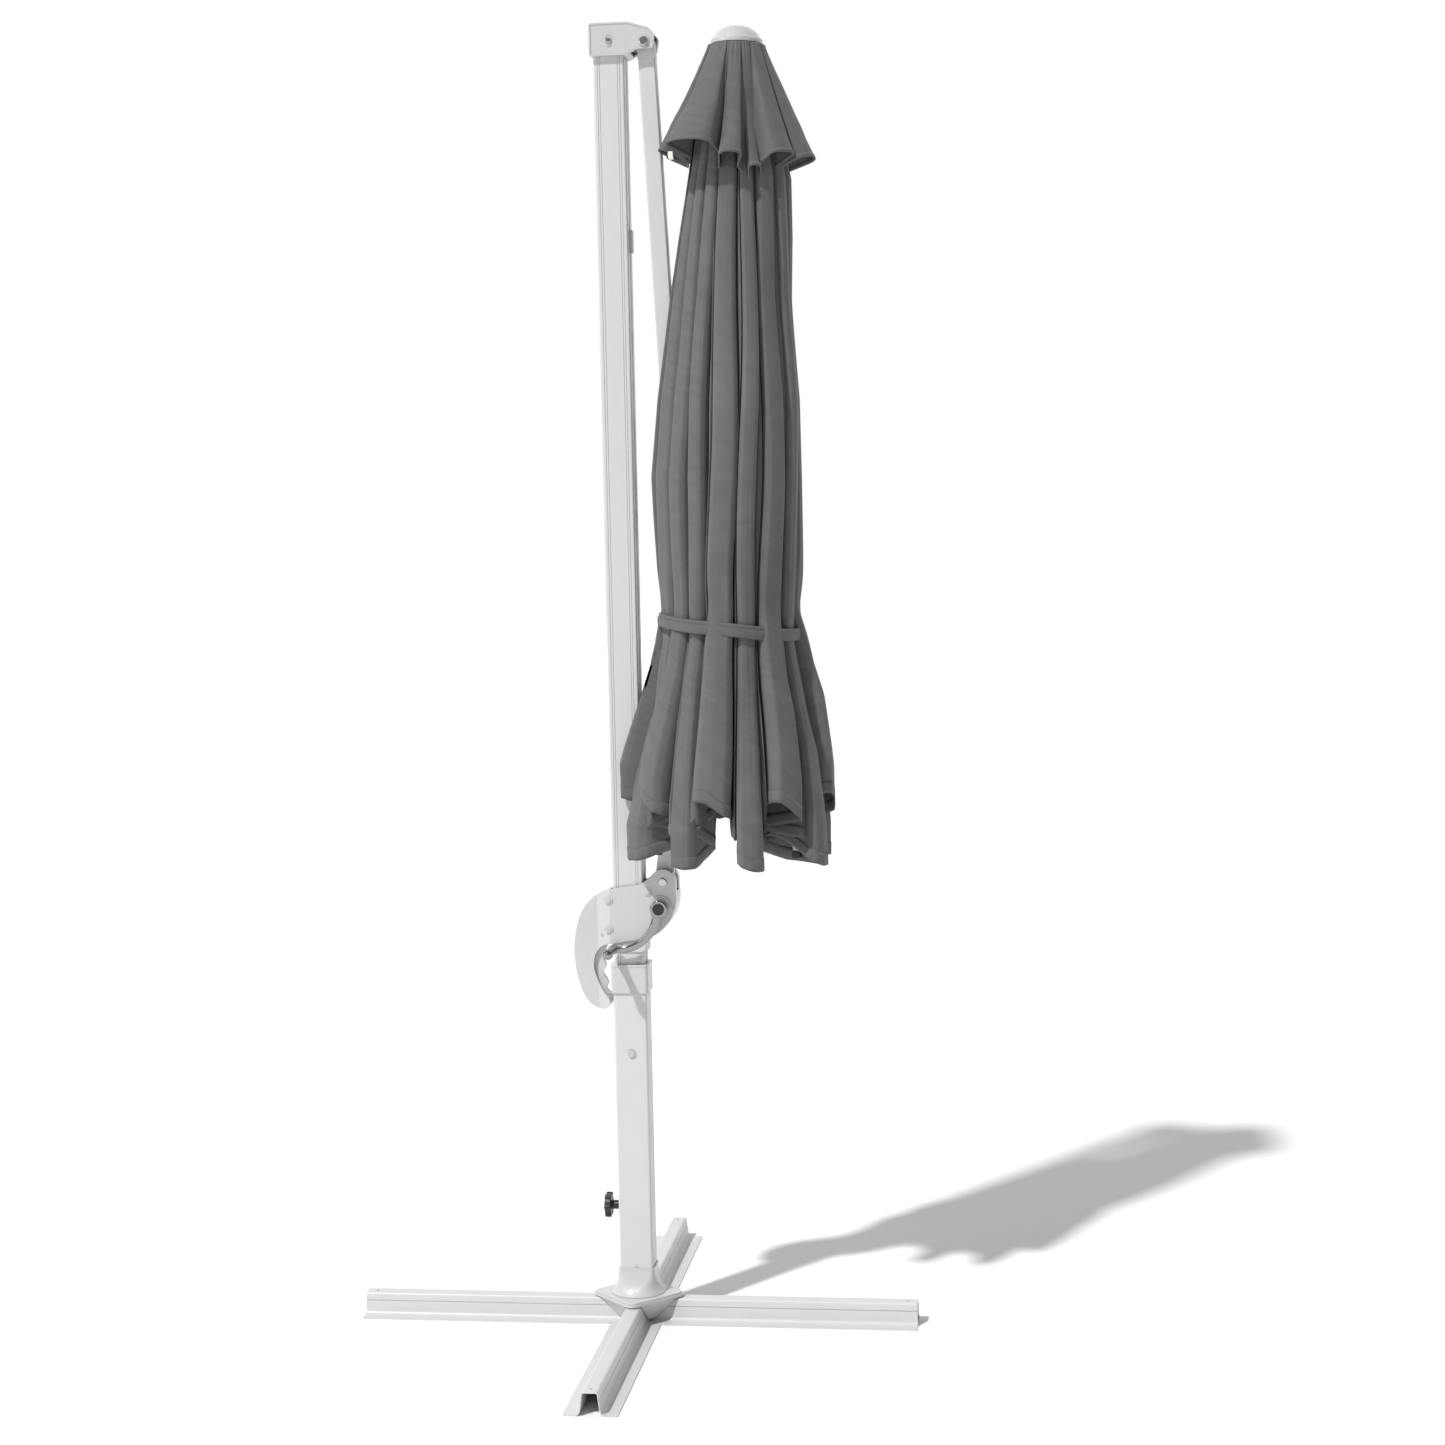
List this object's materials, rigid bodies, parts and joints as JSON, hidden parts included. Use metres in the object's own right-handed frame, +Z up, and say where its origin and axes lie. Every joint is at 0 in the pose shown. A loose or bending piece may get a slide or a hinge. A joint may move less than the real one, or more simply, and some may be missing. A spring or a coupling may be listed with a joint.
{
  "type": "cantilever parasol",
  "caption": "Closed cantilever parasol: cross foot, swivelling mast, folding strut and arm, crank slider with a grip handle, and a tied hanging canopy.",
  "frame": {"origin": "centre of the cross foot on the ground, on the mast's swivel axis", "axes": "+Z up along the mast, +X from the mast towards the hanging canopy, +Y to the back, away from the crank"},
  "size_m": [1.06, 1.06, 2.414],
  "materials": {
    "white_frame": "white powder coat, slightly satin",
    "white_cast": "white coated casting",
    "white_plastic": "glossy white moulding",
    "dark_plastic": "black moulding",
    "nylon": "plain nylon",
    "chromed": "polished chrome plate",
    "zinc_steel": "zinc plated steel",
    "rib_metal": "light grey coat",
    "dark_cloth": "dark grey woven polyester"
  },
  "bodies": {
    "base": {"base_leg_right": "white_frame", "base_leg_back": "white_frame", "base_leg_left": "white_frame", "base_leg_front": "white_frame", "hub_plate": "white_frame", "spigot": "white_frame", "leg_bolts": "zinc_steel", "leg_nuts": "zinc_steel", "hub_cover": "white_plastic", "thrust_washer": "nylon"},
    "mast_unit": {"lower_post": "white_frame", "swivel_bushes": "nylon", "bush_screws": "white_plastic", "post_skirt": "white_plastic", "post_collar": "white_plastic", "post_shims": "nylon", "knob_nut": "zinc_steel", "mast": "white_frame", "slider_stop": "white_plastic", "head_shell_front": "white_plastic", "head_shell_back": "white_plastic", "head_core": "white_cast", "cross_bolts": "chromed", "cap_nuts": "chromed", "strut_pivot_bolt": "chromed"},
    "clamp": {"clamp_knob": "dark_plastic", "clamp_stud": "zinc_steel"},
    "strut": {"strut_tube": "white_frame", "strut_top_eye": "white_cast", "strut_fork": "white_cast"},
    "arm": {"arm_tube": "white_frame", "arm_lower_eye": "white_cast", "arm_upper_tongue": "white_cast", "arm_bracket": "white_frame", "elbow_bolt": "zinc_steel"},
    "slider": {"slider_shell_front": "white_plastic", "slider_shell_back": "white_plastic", "slider_carriage": "white_cast", "arm_pivot_bolt": "chromed", "shell_screws": "white_plastic", "trigger_pin": "zinc_steel", "brake_shoe": "nylon"},
    "trigger": {"release_trigger": "white_plastic"},
    "crank": {"crank_arm": "chromed", "crank_axle": "zinc_steel", "crank_cap": "dark_plastic", "crank_drum": "dark_plastic", "grip_pin": "zinc_steel"},
    "grip": {"crank_grip": "chromed"},
    "canopy": {"hub_bracket": "white_cast", "hub_pin": "zinc_steel", "crown": "dark_plastic", "dome_cap": "white_plastic", "ribs": "rib_metal", "rib_tips": "dark_plastic", "stretchers": "rib_metal", "runner": "dark_plastic", "canopy_cloth": "dark_cloth", "vent_cloth": "dark_cloth", "tie_strap": "dark_cloth"}
  },
  "joints": [
    {"name": "mast_swivel", "type": "hinge", "parent": "base", "child": "mast_unit", "pos_m": [0, 0, 0.2], "axis": [0, 0, 1], "continuous": true},
    {"name": "clamp_turn", "type": "hinge", "parent": "mast_unit", "child": "clamp", "pos_m": [-0.04, 0, 0.218], "axis": [1, 0, 0], "continuous": true},
    {"name": "strut_fold", "type": "hinge", "parent": "mast_unit", "child": "strut", "pos_m": [0.067, 0, 2.378], "axis": [0, -1, 0], "range_deg": [0, 72]},
    {"name": "elbow_turn", "type": "hinge", "parent": "strut", "child": "arm", "pos_m": [0.10192, 0, 1.609], "axis": [0, -1, 0], "range_deg": [-144.5, 0]},
    {"name": "slider_pivot", "type": "hinge", "parent": "arm", "child": "slider", "pos_m": [0.067, 0, 0.84], "axis": [0, -1, 0], "range_deg": [0, 72.5]},
    {"name": "canopy_pivot", "type": "hinge", "parent": "arm", "child": "canopy", "pos_m": [0.23076, 0, 2.3], "axis": [0, -1, 0], "range_deg": [0, 72.5]},
    {"name": "crank_turn", "type": "hinge", "parent": "slider", "child": "crank", "pos_m": [0.061, -0.02, 0.792], "axis": [0, -1, 0], "continuous": true},
    {"name": "grip_spin", "type": "hinge", "parent": "crank", "child": "grip", "pos_m": [-0.027, -0.08, 0.716], "axis": [0, -1, 0], "continuous": true},
    {"name": "trigger_squeeze", "type": "hinge", "parent": "slider", "child": "trigger", "pos_m": [-0.051, 0, 0.739], "axis": [0, 1, 0], "range_deg": [0, 5], "stiffness_Nm_per_rad": 2}
  ],
  "couplings": [
    {"joint": "elbow_turn", "follows": "strut_fold", "ratio": -2},
    {"joint": "slider_pivot", "follows": "strut_fold", "ratio": 1},
    {"joint": "canopy_pivot", "follows": "strut_fold", "ratio": 1}
  ]
}
